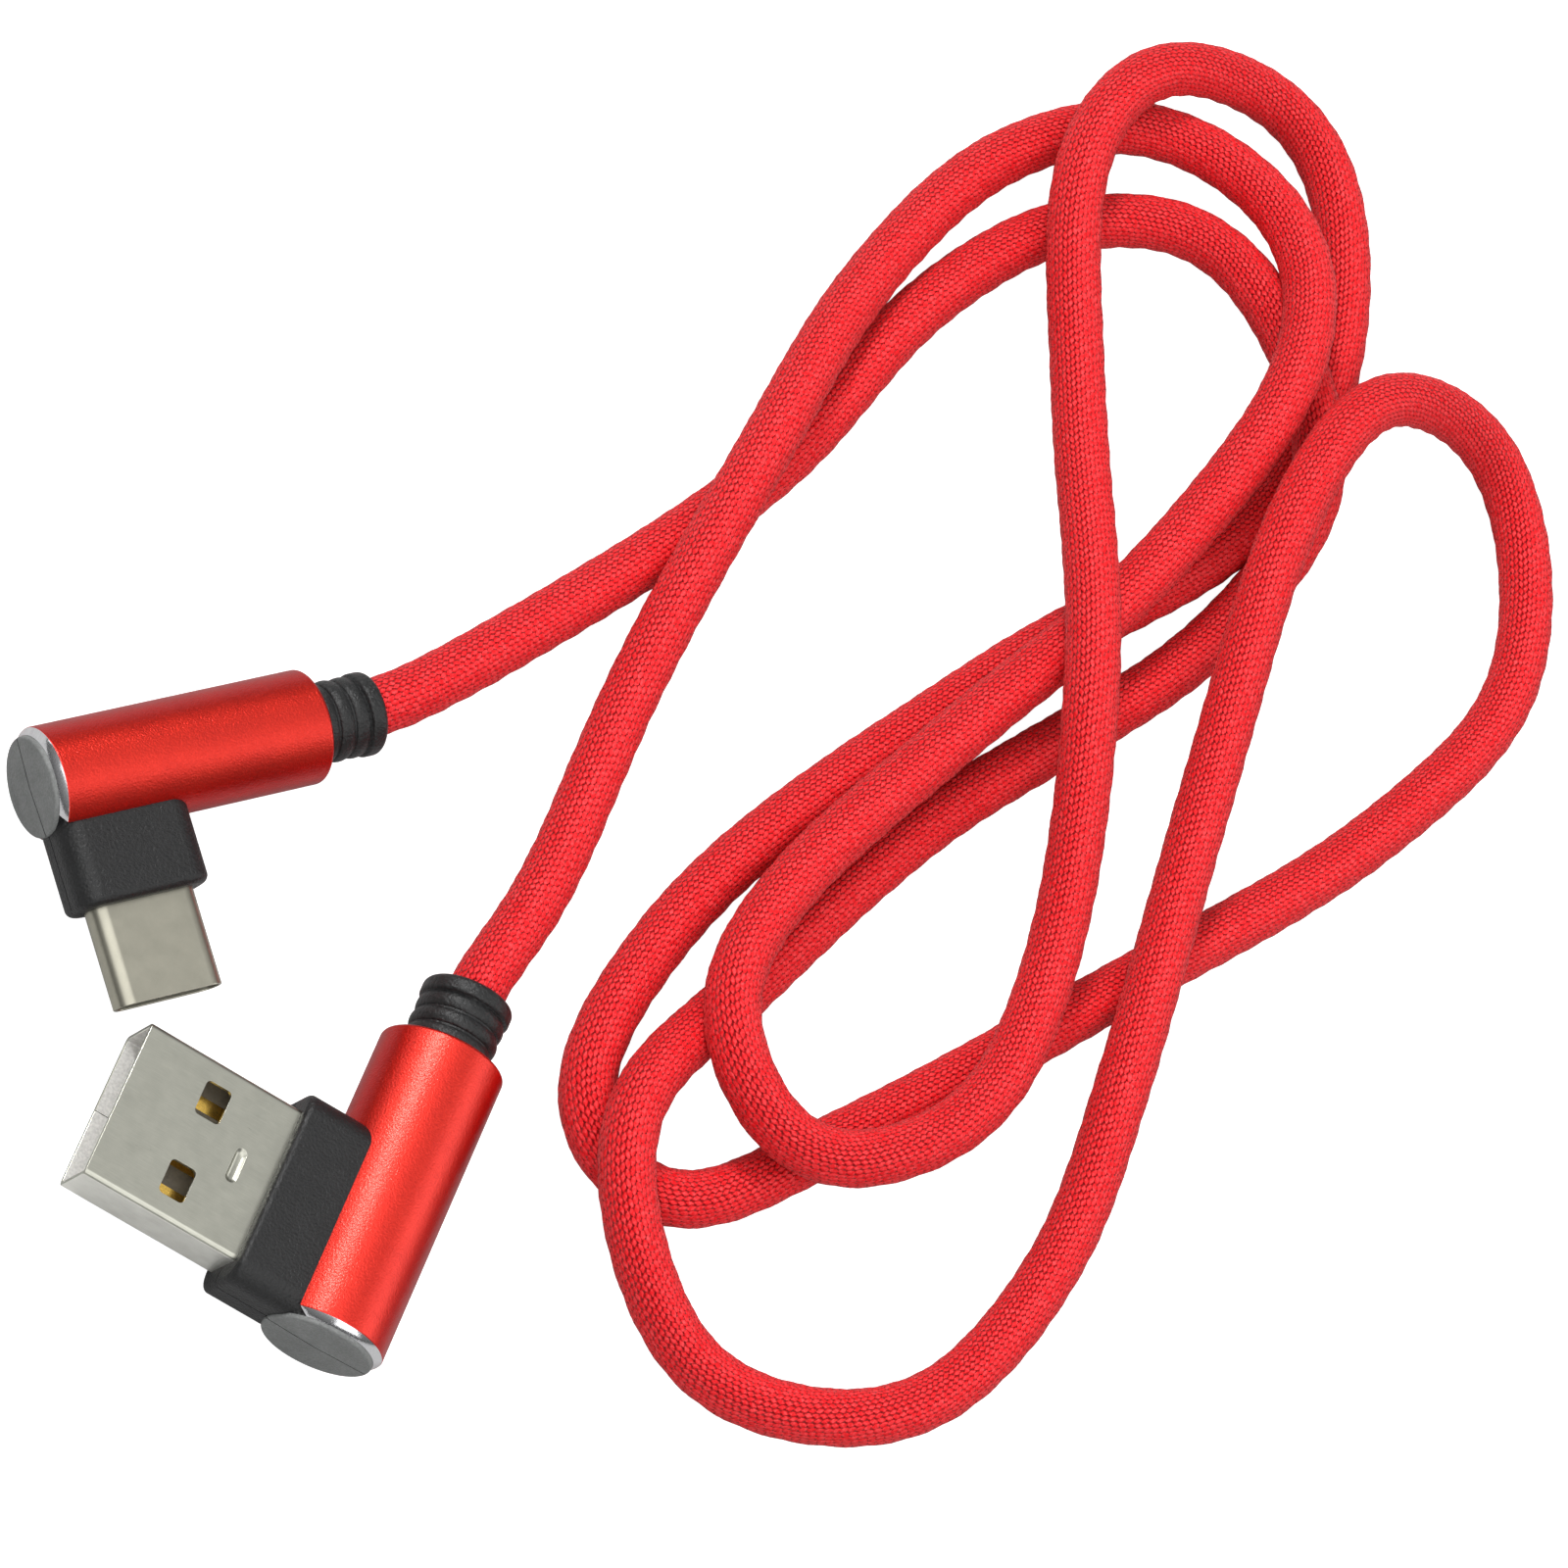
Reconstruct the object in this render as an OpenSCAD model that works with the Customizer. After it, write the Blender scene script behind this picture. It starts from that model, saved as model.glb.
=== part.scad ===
// Braided charging cable with two right-angled plugs, USB-A and USB-C, lying loosely looped.
// Row frame: +Z up, floor at z = 0, millimetres. The USB-A plug points along -X.
// Each plug is drawn in its own plug frame: origin on the barrel's axis at the end cap's face,
// +X the way the plug is inserted, +Y along the barrel towards the cord, +Z up.

/* [USB-A plug] */
// Outside diameter of the USB-A barrel sleeve
a_barrel_d = 9.2; // [9:0.1:10]
// Length of the USB-A barrel sleeve
a_sleeve_l = 23; // [22:0.5:26]
// Width of the USB-A metal shell
a_shell_w = 12; // [11.9:0.05:12.1]
// Height of the USB-A metal shell
a_shell_h = 4.5; // [4.4:0.05:4.6]
// Length of USB-A shell that stands out of the block
a_shell_out = 12.2; // [11.75:0.05:12.5]
// Distance from the barrel's axis to the block's front face
a_reach = 8.4; // [8:0.1:9]
// Distance from the cap's face to the middle of the shell
a_shell_y = 7.7; // [7.6:0.1:8]
// Width of the moulded block
a_block_w = 15; // [14.6:0.1:15.2]
// Height of the moulded block
a_block_h = 6.5; // [6:0.1:7]

/* [USB-C plug] */
// Outside diameter of the USB-C barrel sleeve
c_barrel_d = 8.2; // [8:0.1:9]
// Length of the USB-C barrel sleeve
c_sleeve_l = 21.4; // [21:0.2:24]
// Width of the USB-C metal shell
c_shell_w = 8.25; // [8.2:0.05:8.3]
// Height of the USB-C metal shell
c_shell_h = 2.4; // [2.36:0.02:2.44]
// Length of USB-C shell that stands out of the block
c_shell_out = 7; // [6.65:0.05:7.2]
// Distance from the barrel's axis to the block's front face
c_reach = 9.3; // [9:0.1:10]
// Distance from the cap's face to the middle of the shell
c_shell_y = 5.4; // [5.3:0.1:5.8]
// Width of the moulded block
c_block_w = 10.2; // [10:0.1:10.6]
// Height of the moulded block
c_block_h = 4.8; // [4.6:0.1:5.2]

/* [Cord] */
// Outside diameter of the textile sleeve
cord_d = 4.2; // [4:0.1:4.2]
// Thickness of the textile sleeve
cord_wall = 0.5; // [0.4:0.1:0.6]

/* [Strain reliefs] */
// Length of relief that shows past the barrel
relief_out = 5.1; // [5:0.1:5.2]
// Diameter of the USB-A relief's end collar
a_collar_d = 6.7; // [6.4:0.1:7]
// Diameter of the USB-C relief's end collar
c_collar_d = 6; // [5.8:0.1:6.4]
// Number of ribs on each relief
rib_count = 3; // [2:1:3]

/* [Hidden] */
$fn = 48;

// where the two plugs' cap faces lie on the table
a_at = [16.3, -22.9];
c_at = [-18.4, 2.3];

cap_proud = 0.35;      // the end cap stands this far out of the sleeve
wall = 0.5;            // sleeve wall
chamfer = 0.5;         // bright chamfer at the cap end of each sleeve
lip = 0.5;             // inward lip at the cord end of each sleeve
flange_l = 5;          // strain relief's flange inside the sleeve
block_r = 1.7;         // corner radius of the blocks' outline
bore_r = 1.65;         // wire channel through housing and relief
bore_start = 1;        // the channel begins this far behind the block's near side
key_gap = 0.4;         // the block's root is this much lower than its faces
rim = 0.3;             // outer chamfer at the cord end of each sleeve
neck_step = 0.35;      // relief's neck is this much smaller in radius than its end collar
rib_proud = 0.22;      // ribs stand this far out of the neck
rib_gap = 0.25;        // half the groove between two ribs
collar_l = 1.3;        // length of each relief's end collar
wire_gap = 0.1;        // half the gap between the two layers of wires
mould_half_h = 1.6;    // half the height of the potting round the solder joints
over = 1;              // cutters reach this far past the material
sheet = 0.3;           // USB-A shell sheet
a_shell_r = 0.5;       // corner radii of the USB-A shell, outside and inside
a_shell_in_r = 0.2;
c_sheet = 0.25;        // USB-C shell sheet
eps = 0.01;

// USB-A contacts
a_contact_t = 0.2;
a_contact_w = 1;
a_contact_y = [-3.5, -1, 1, 3.5];
a_contact_x = [3, 18.4];
a_wire_r = 0.45;
a_wire_lap = 1.2;      // each wire lies this far along its contact's tail
a_mould = [1.3, 10];   // potting: where it begins, and its width
a_tongue_gap = 0.3;    // space beside the tongue
a_shell_x = 4.6;       // rear end of the shell inside the block
a_tongue_back = 1.7;   // tongue's front end behind the shell's mouth
a_window = [2, 2.6];   // latch windows, along and across the shell
a_window_x = 14.4;
a_window_y = 3.13;
a_window_r = 0.4;
a_slot = [0.9, 2.6];    // oval mark, along and across the shell
a_slot_x = 11.1;
a_slot_r = 0.44;
a_slot_deep = 0.2;     // the oval mark is pressed this deep

// USB-C inner pieces
c_board_t = 0.8;
c_contact_t = 0.15;
c_contact_w = 0.25;
c_pitch = 0.5;
c_upper = [1, 4, 5, 6, 7, 9, 12];
c_lower = [1, 4, 5, 9, 12];
c_contact_x = [4.4, 15.7];
c_wire_r = 0.4;
c_wire_y = [-2.4, -0.8, 0.8, 2.4];
c_shell_x = 5.3;
c_board_x = [1.6, 5.6];
c_slot = [6.7, 11];    // width of the mating slot, and where it ends
c_insulator_back = 0.4;    // insulator's front end behind the shell's mouth
c_board_w = 7.2;
c_resistor = [0.8, 1.6, 0.45];
c_resistor_at = [2.2, -3.2];
c_mould = [1.2, 8.4];  // potting: where it begins, and its width
c_wire_x = 3.6;        // where the wires end on the board

// USB-C latch spring: rear and front ends, half width, and the arms' and tips' sizes
c_latch_x = [6.4, 15];
c_latch_half_w = 3.55;
c_latch_half_h = 0.25;
c_latch_bar = 0.4;
c_latch_arm = 0.2;
c_latch_tip = [0.8, 0.5];

c_turn = -47;          // turn of the USB-C plug on the table, in degrees

// The cord's lay on the table between its two reliefs: x, y and height of its middle
lay = [
    [18.6, 15.5, 3.2], [18.5, 34, 3.8], [19.4, 54, 6.8], [22.7, 73.5, 3.6], [29.5, 90.5, 2.1],
    [40.5, 100, 2.1], [51.5, 97.5, 5.2], [55.5, 86, 8.6], [51.2, 63.5, 6.8], [42.5, 44, 6.2],
    [34, 23.5, 6.2], [33.3, 13, 7.8], [43.5, 7.5, 6.4], [54.2, 16.8, 6.4], [55.5, 31, 6.4],
    [48, 52, 10.6], [40.8, 73, 6], [33.2, 91, 7], [37.5, 103, 5.4], [52, 107.3, 2.1], [60.3, 94, 2.1],
    [60, 76, 2.1], [44.7, 51.3, 2.1], [29, 20.3, 2.1], [28, 3.3, 2.1], [36.5, 0.5, 2.1], [47, 12, 2.1],
    [63, 34.3, 2.1], [78.7, 58, 2.1], [84.8, 76, 2.1], [77, 91, 2.6], [63, 86.5, 8.8], [58.7, 73, 10.6],
    [61.7, 50, 7.2], [64.8, 25, 5.4], [66.2, 12.5, 2.6], [60, -3.5, 2.1], [44, -9.3, 2.1],
    [30.2, 2, 6.2], [36.2, 19, 2.2], [44, 37.5, 2.1], [60.2, 65, 2.1], [61.6, 79, 6.2], [49, 94, 2.1],
    [37, 88.8, 2.1], [28, 75, 2.1], [22.5, 56.5, 2.1], [10, 33.8, 2.2]
];
ring_gap = 17;         // longest way between two rings of the cord
cord_sides = 8;
core_gap = 0.05;       // between the core and the textile sleeve
straight = 6;          // the cord heads this way straight out of each relief

// ---- helpers ----

module along_x(x0, x1) { translate([x0, 0, 0]) rotate([0, 90, 0]) linear_extrude(x1 - x0) children(); }

module along_y(y0, y1, r) { translate([0, y0, 0]) rotate([-90, 0, 0]) cylinder(r = r, h = y1 - y0); }

module turned_about_y() { rotate([-90, 0, 0]) rotate_extrude($fn = 72) children(); }

// a rectangle with round corners, h along the plug's Z and w along its Y
module round_rect(h, w, r) {
    square([h, w - 2 * r], center = true);
    square([h - 2 * r, w], center = true);
    for (i = [-1, 1], j = [-1, 1]) translate([i * (h / 2 - r), j * (w / 2 - r)]) circle(r);
}

module stadium(h, w) {
    square([h, w - h], center = true);
    for (j = [-1, 1]) translate([0, j * (w - h) / 2]) circle(h / 2);
}

module box_at(x0, x1, y0, y1, z0, z1) { translate([x0, y0, z0]) cube([x1 - x0, y1 - y0, z1 - z0]); }

// The USB-A plug is the mirror image of the shared plug frame, because it points along -X
module in_a() { translate([a_at[0], a_at[1], a_barrel_d / 2]) mirror([1, 0, 0]) children(); }

module in_c() { translate([c_at[0], c_at[1], c_barrel_d / 2]) rotate([0, 0, c_turn]) children(); }

// ---- pieces that both plugs have ----

// Anodised tube, chamfered at the cap, lipped at the cord, with a notch that the block comes out of
module sleeve(d, l, relief_d, shell_y, block_w, block_h) {
    y1 = cap_proud + l;
    far = shell_y + block_w / 2;
    difference() {
        turned_about_y() polygon([
            [d / 2 - wall, cap_proud], [d / 2 - chamfer + eps, cap_proud], [d / 2, cap_proud + chamfer],
            [d / 2, y1 - rim], [d / 2 - rim, y1], [relief_d / 2, y1], [relief_d / 2, y1 - lip],
            [d / 2 - wall, y1 - lip]
        ]);
        translate([0, far / 2, 0]) along_x(0, d) round_rect(block_h, far, block_r);
        box_at(0, d, -1, far - block_r, -block_h / 2, block_h / 2);
    }
}

// Over-moulding: end cap, core inside the sleeve and the block that carries the shell
module housing(d, l, reach, shell_y, block_w, block_h) {
    near = shell_y - block_w / 2;
    difference() {
        union() {
            along_y(0, cap_proud, d / 2 - chamfer);
            along_y(cap_proud - eps, cap_proud + l - lip - flange_l, d / 2 - wall);
            translate([0, shell_y, 0]) along_x(0, reach) round_rect(block_h, block_w, block_r);
            box_at(0, d / 2 - chamfer, near, shell_y, key_gap - block_h / 2, block_h / 2 - key_gap);
        }
        along_y(near + bore_start, l + over, bore_r);
        children();
    }
}

// Ribbed boot: flange held in the sleeve, neck through the lip, ribs and an end collar
module strain_relief(d, l, collar_d) {
    y1 = cap_proud + l;
    neck_r = collar_d / 2 - neck_step;
    pitch = (relief_out - collar_l) / rib_count;
    difference() {
        union() {
            along_y(y1 - lip - flange_l, y1 - lip, d / 2 - wall);
            along_y(y1 - lip - eps, y1 + relief_out - collar_l + eps, neck_r);
            for (i = [0:rib_count - 1])
                along_y(y1 + i * pitch + rib_gap, y1 + (i + 1) * pitch - rib_gap, neck_r + rib_proud);
            along_y(y1 + relief_out - collar_l, y1 + relief_out, collar_d / 2);
        }
        along_y(y1 - lip - flange_l - over, y1 + relief_out + over, bore_r);
    }
}

// One insulated wire: along the barrel, then round the corner to its solder joint
module wire(r, x, z, y0, y1, x1) {
    translate([x, 0, z]) along_y(y0, y1, r);
    translate([x, y0, z]) sphere(r);
    translate([x, y0, z]) rotate([0, 90, 0]) cylinder(r = r, h = x1 - x);
}

// Wires 0 and 2 lie under the tails, 1 and 3 on top; the inner pair passes behind the outer pair
module wire_of(i, r, half_t, ys, y1, x1) {
    x = (i < 2 ? -1 : 1) * (r + wire_gap);
    z = (i % 2 == 0 ? -1 : 1) * (half_t + r);
    wire(r, x, z, ys[i], y1, x1);
}

// ---- USB-A ----

a_ys = [for (y = a_contact_y) a_shell_y + y];
a_mouth = a_reach + a_shell_out;
a_in_w = a_shell_w - 2 * sheet;
a_in_h = a_shell_h - 2 * sheet;
a_cord_y = cap_proud + a_sleeve_l + relief_out;

module usb_a_shell() color("gainsboro") in_a() difference() {
    translate([0, a_shell_y, 0]) along_x(a_shell_x, a_mouth) difference() {
        round_rect(a_shell_h, a_shell_w, a_shell_r);
        round_rect(a_in_h, a_in_w, a_shell_in_r);
    }
    for (side = [-1, 1])
        translate([a_window_x, a_shell_y + side * a_window_y, -a_shell_h]) linear_extrude(2 * a_shell_h)
            round_rect(a_window[0], a_window[1], a_window_r);
    translate([a_slot_x, a_shell_y, a_shell_h / 2 - a_slot_deep]) linear_extrude(over)
        round_rect(a_slot[0], a_slot[1], a_slot_r);
}

module a_contact_strip(i)
    box_at(a_contact_x[0], a_contact_x[1], a_ys[i] - a_contact_w / 2, a_ys[i] + a_contact_w / 2,
        -a_contact_t / 2, a_contact_t / 2);

module usb_a_insulator() color("dimgray") in_a() difference() {
    translate([0, a_shell_y, 0]) union() {
        along_x(a_shell_x, a_reach) round_rect(a_in_h, a_in_w, a_shell_in_r);
        box_at(a_shell_x, a_mouth - a_tongue_back, a_tongue_gap - a_in_w / 2, a_in_w / 2 - a_tongue_gap,
            -a_in_h / 2, a_contact_t / 2);
    }
    for (i = [0:3]) a_contact_strip(i);
}

module usb_a_contact(i) color("goldenrod") in_a() a_contact_strip(i);

module usb_a_wire(i) in_a() wire_of(i, a_wire_r, a_contact_t / 2, a_ys, a_cord_y, a_contact_x[0] + a_wire_lap);

module mould_box(x0, x1, y, w) translate([0, y, 0]) box_at(x0, x1, -w / 2, w / 2, -mould_half_h, mould_half_h);

module a_mould_box() mould_box(a_mould[0], a_shell_x, a_shell_y, a_mould[1]);

module usb_a_inner_mould() color("ivory") in_a() difference() {
    a_mould_box();
    for (i = [0:3]) {
        a_contact_strip(i);
        wire_of(i, a_wire_r, a_contact_t / 2, a_ys, a_cord_y, a_contact_x[0] + a_wire_lap);
    }
}

module usb_a_housing() color([0.16, 0.16, 0.17]) in_a()
    housing(a_barrel_d, a_sleeve_l, a_reach, a_shell_y, a_block_w, a_block_h) {
        translate([0, a_shell_y, 0]) along_x(a_shell_x, a_reach + over)
            round_rect(a_shell_h, a_shell_w, a_shell_r);
        a_mould_box();
    }

module usb_a_sleeve() color("crimson") in_a()
    sleeve(a_barrel_d, a_sleeve_l, a_collar_d - 2 * neck_step, a_shell_y, a_block_w, a_block_h);

module usb_a_strain_relief() color([0.16, 0.16, 0.17]) in_a()
    strain_relief(a_barrel_d, a_sleeve_l, a_collar_d);

// ---- USB-C ----

c_ys = [for (y = c_wire_y) c_shell_y + y];
c_mouth = c_reach + c_shell_out;
c_in_w = c_shell_w - 2 * c_sheet;
c_in_h = c_shell_h - 2 * c_sheet;
c_cord_y = cap_proud + c_sleeve_l + relief_out;

module usb_c_shell() color("silver") in_c() translate([0, c_shell_y, 0])
    along_x(c_shell_x, c_mouth) difference() {
        stadium(c_shell_h, c_shell_w);
        stadium(c_in_h, c_in_w);
    }

module c_contact_row(pins, side)
    for (p = pins) translate([0, c_shell_y + (p - 6.5) * c_pitch, side * (c_board_t + c_contact_t) / 2])
        box_at(c_contact_x[0], c_contact_x[1], -c_contact_w / 2, c_contact_w / 2,
            -c_contact_t / 2, c_contact_t / 2);

module c_latch_part(x0, x1, y, w) box_at(x0, x1, y - w / 2, y + w / 2, -c_latch_half_h, c_latch_half_h);

module c_latch_shape() translate([0, c_shell_y, 0]) {
    c_latch_part(c_latch_x[0], c_latch_x[0] + c_latch_bar, 0, 2 * c_latch_half_w);
    for (side = [-1, 1]) {
        c_latch_part(c_latch_x[0], c_latch_x[1], side * (c_latch_half_w - c_latch_arm / 2), c_latch_arm);
        c_latch_part(c_latch_x[1] - c_latch_tip[0], c_latch_x[1],
            side * (c_latch_half_w - c_latch_tip[1] / 2), c_latch_tip[1]);
    }
}

module usb_c_insulator() color("dimgray") in_c() difference() {
    translate([0, c_shell_y, 0]) along_x(c_board_x[1], c_mouth - c_insulator_back) stadium(c_in_h, c_in_w);
    translate([0, c_shell_y, 0])
        box_at(c_slot[1], c_mouth, -c_slot[0] / 2, c_slot[0] / 2, -c_board_t / 2, c_board_t / 2);
    c_contact_row(c_upper, 1);
    c_contact_row(c_lower, -1);
    c_latch_shape();
}

module usb_c_contacts_upper() color("goldenrod") in_c() c_contact_row(c_upper, 1);

module usb_c_contacts_lower() color("goldenrod") in_c() c_contact_row(c_lower, -1);

module usb_c_latch() color("lightsteelblue") in_c() c_latch_shape();

module c_board_shape() translate([0, c_shell_y, 0])
    box_at(c_board_x[0], c_board_x[1], -c_board_w / 2, c_board_w / 2, -c_board_t / 2, c_board_t / 2);

module c_resistor_shape()
    translate([c_resistor_at[0], c_shell_y + c_resistor_at[1], c_board_t / 2]) cube(c_resistor);

module usb_c_board() color("darkgreen") in_c() c_board_shape();

module usb_c_resistor() color([0.1, 0.1, 0.1]) in_c() c_resistor_shape();

module usb_c_wire(i) in_c() wire_of(i, c_wire_r, c_board_t / 2, c_ys, c_cord_y, c_wire_x);

module c_mould_box() mould_box(c_mould[0], c_shell_x, c_shell_y, c_mould[1]);

module usb_c_inner_mould() color("ivory") in_c() difference() {
    c_mould_box();
    c_board_shape();
    c_resistor_shape();
    c_contact_row(c_upper, 1);
    c_contact_row(c_lower, -1);
    for (i = [0:3]) wire_of(i, c_wire_r, c_board_t / 2, c_ys, c_cord_y, c_wire_x);
}

module usb_c_housing() color([0.16, 0.16, 0.17]) in_c()
    housing(c_barrel_d, c_sleeve_l, c_reach, c_shell_y, c_block_w, c_block_h) {
        translate([0, c_shell_y, 0]) along_x(c_shell_x, c_reach + over) stadium(c_shell_h, c_shell_w);
        c_mould_box();
    }

module usb_c_sleeve() color("crimson") in_c()
    sleeve(c_barrel_d, c_sleeve_l, c_collar_d - 2 * neck_step, c_shell_y, c_block_w, c_block_h);

module usb_c_strain_relief() color([0.16, 0.16, 0.17]) in_c()
    strain_relief(c_barrel_d, c_sleeve_l, c_collar_d);

// ---- cord ----

// The cord runs from one relief's end face to the other's
a_out = [0, 1, 0];
c_out = [sin(-c_turn), cos(c_turn), 0];
a_exit = [a_at[0], a_at[1], a_barrel_d / 2] + a_cord_y * a_out;
c_exit = [c_at[0], c_at[1], c_barrel_d / 2] + c_cord_y * c_out;
route = concat([a_exit], lay, [c_exit]);
last = len(route) - 1;

// A point past each end keeps the cord straight as it leaves its relief
function point(i) = i < 0 ? a_exit - straight * a_out : i > last ? c_exit - straight * c_out : route[i];

function gap(i) = sqrt(norm(point(i + 1) - point(i)));

// Centripetal Catmull-Rom curve through the route's points
function tangent(i) =
    let (g0 = gap(i - 1), g1 = gap(i), p0 = point(i - 1), p1 = point(i), p2 = point(i + 1))
    (p1 - p0) / g0 - (p2 - p0) / (g0 + g1) + (p2 - p1) / g1;

function on_curve(i, t) =
    let (p1 = point(i), p2 = point(i + 1), m1 = tangent(i) * gap(i), m2 = tangent(i + 1) * gap(i))
    p1 + t * m1 + t * t * (3 * (p2 - p1) - 2 * m1 - m2) + t * t * t * (2 * (p1 - p2) + m1 + m2);

// The cord never dips below the table
function on_table(p) = [p[0], p[1], max(p[2], cord_d / 2)];

centres = [
    for (i = [0:last - 1])
        let (n = ceil(norm(route[i + 1] - route[i]) / ring_gap))
        for (j = [0:n - 1]) on_table(on_curve(i, j / n)),
    route[last]
];
rings = len(centres);

function unit(v) = v / norm(v);

function along(k) =
    k == 0 ? a_out
    : k == rings - 1 ? -c_out
    : unit(centres[k + 1] - centres[k - 1]);

function ring(k, r) =
    let (side = unit(cross(along(k), [0, 0, 1])), up = cross(side, along(k)))
    [for (s = [0:cord_sides - 1]) let (a = 360 * (s + 0.5) / cord_sides)
        centres[k] + r * (cos(a) * side + sin(a) * up)];

function skin_faces(first, flip) = [
    for (k = [0:rings - 2], s = [0:cord_sides - 1])
        let (a = first + k * cord_sides + s, b = first + k * cord_sides + (s + 1) % cord_sides)
        for (f = [[a, a + cord_sides, b], [b, a + cord_sides, b + cord_sides]])
            flip ? [f[2], f[1], f[0]] : f
];

module cord_solid(r) {
    end = (rings - 1) * cord_sides;
    polyhedron(
        points = [for (k = [0:rings - 1]) each ring(k, r)],
        faces = concat(skin_faces(0, false),
            [[for (s = [0:cord_sides - 1]) s]],
            [[for (s = [cord_sides - 1:-1:0]) end + s]])
    );
}

module cord_tube(r, inner_r) {
    n = rings * cord_sides;
    end = (rings - 1) * cord_sides;
    polyhedron(
        points = [for (q = [r, inner_r]) for (k = [0:rings - 1]) each ring(k, q)],
        faces = concat(skin_faces(0, false), skin_faces(n, true),
            [for (s = [0:cord_sides - 1]) let (t = (s + 1) % cord_sides)
                for (f = [[s, t, n + s], [t, n + t, n + s]]) f],
            [for (s = [0:cord_sides - 1]) let (t = (s + 1) % cord_sides)
                for (f = [[end + t, end + s, end + n + s], [end + t, end + n + s, end + n + t]]) f])
    );
}

module cord_textile_sleeve() color("red") cord_tube(cord_d / 2, cord_d / 2 - cord_wall);

module cord_core() color("firebrick") cord_solid(cord_d / 2 - cord_wall - core_gap);

usb_a_shell();
usb_a_insulator();
usb_a_contact(0);  // usb_a_contact_vbus
usb_a_contact(1);  // usb_a_contact_data_minus
usb_a_contact(2);  // usb_a_contact_data_plus
usb_a_contact(3);  // usb_a_contact_ground
usb_a_inner_mould();
usb_a_housing();
usb_a_sleeve();
usb_a_strain_relief();
color("red") usb_a_wire(0);  // usb_a_wire_vbus
color("white") usb_a_wire(1);  // usb_a_wire_data_minus
color("green") usb_a_wire(2);  // usb_a_wire_data_plus
color([0.1, 0.1, 0.1]) usb_a_wire(3);  // usb_a_wire_ground
usb_c_shell();
usb_c_insulator();
usb_c_contacts_upper();
usb_c_contacts_lower();
usb_c_latch();
usb_c_board();
usb_c_resistor();
usb_c_inner_mould();
usb_c_housing();
usb_c_sleeve();
usb_c_strain_relief();
color("red") usb_c_wire(0);  // usb_c_wire_vbus
color("white") usb_c_wire(1);  // usb_c_wire_data_minus
color("green") usb_c_wire(2);  // usb_c_wire_data_plus
color([0.1, 0.1, 0.1]) usb_c_wire(3);  // usb_c_wire_ground
cord_textile_sleeve();
cord_core();
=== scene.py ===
"""Looks of the charging cable: woven cord, anodised barrels, moulded blocks and plated shells.
Everything is in metres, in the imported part's frame. MM turns the millimetres used below into metres."""

import math

import bmesh
import bpy
import numpy as np
from mathutils import Matrix, Vector


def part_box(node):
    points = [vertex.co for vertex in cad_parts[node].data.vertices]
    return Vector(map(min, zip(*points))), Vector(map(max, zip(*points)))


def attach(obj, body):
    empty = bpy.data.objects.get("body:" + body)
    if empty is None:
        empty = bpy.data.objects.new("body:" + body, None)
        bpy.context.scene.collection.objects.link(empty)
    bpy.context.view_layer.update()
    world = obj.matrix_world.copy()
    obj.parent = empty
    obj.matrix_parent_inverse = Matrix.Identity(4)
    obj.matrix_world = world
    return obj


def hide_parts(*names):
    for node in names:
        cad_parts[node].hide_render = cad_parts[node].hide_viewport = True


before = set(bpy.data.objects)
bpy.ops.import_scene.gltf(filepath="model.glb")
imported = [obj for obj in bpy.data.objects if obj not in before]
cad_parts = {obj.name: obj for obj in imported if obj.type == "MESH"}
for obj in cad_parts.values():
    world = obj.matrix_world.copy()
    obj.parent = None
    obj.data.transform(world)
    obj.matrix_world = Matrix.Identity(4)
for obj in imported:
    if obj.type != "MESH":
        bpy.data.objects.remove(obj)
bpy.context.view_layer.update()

MM = 0.001
BODY = "root"

# ---------------------------------------------------------------- the plugs' sizes and places

# The part's sizes in millimetres, in each plug's own frame; the frame's boxes say where the plugs lie
CAP_PROUD = 0.35    # the end cap stands this far out of the barrel
WALL = 0.5          # barrel's wall
CHAMFER = 0.5       # bright chamfer at the cap
LIP = 0.5           # inward lip at the cord's end of the barrel
FLANGE = 5.0        # the boot's flange inside the barrel
RELIEF_OUT = 5.1    # the boot's length past the barrel
BORE_R = 1.65       # wire channel
BLOCK_R = 1.7       # corners of the block's outline
FIT = 0.02          # gap between the moulding and the barrel
NECK_STEP = 0.35    # the barrel's opening is this much smaller in radius than the boot's collar


def plug_place(plug):
    """Finds the plug's origin from its relief's box, whose low corner is the flange's round rim."""
    low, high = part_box(f"{plug['tag']}_strain_relief")
    turn = math.radians(plug["turn"])
    along = (-math.sin(turn), math.cos(turn))
    rim = (plug["radius"] - WALL) * MM
    start = (CAP_PROUD + plug["sleeve"] - LIP - FLANGE) * MM
    origin = Vector((
        low[0] - start * along[0] + rim * abs(along[1]),
        low[1] - start * along[1] + rim * abs(along[0]),
        (low[2] + high[2]) / 2,
    ))
    place = Matrix.Translation(origin) @ Matrix.Rotation(turn, 4, "Z")
    return place @ Matrix.Scale(-1, 4, (1, 0, 0)) if plug["mirrored"] else place


PLUG_A = dict(
    tag="usb_a", turn=0.0, mirrored=True,
    radius=4.6, sleeve=23.0, collar_r=3.35, reach=8.4, shell_y=7.7, block_w=15.0, block_h=6.5, edge=0.45,
    shell_back=4.6, mouth=20.6, shell_w=12.0, shell_h=4.5, shell_corner=0.4,
)
PLUG_C = dict(
    tag="usb_c", turn=-47.0, mirrored=False,
    radius=4.1, sleeve=21.4, collar_r=3.0, reach=9.3, shell_y=5.4, block_w=10.2, block_h=4.8, edge=0.6,
    shell_back=5.3, mouth=16.3, shell_w=8.25, shell_h=2.4, shell_corner=1.1999,
)
for plug in (PLUG_A, PLUG_C):
    plug["place"] = plug_place(plug)

# ---------------------------------------------------------------- camera, at the photograph's angle

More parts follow.
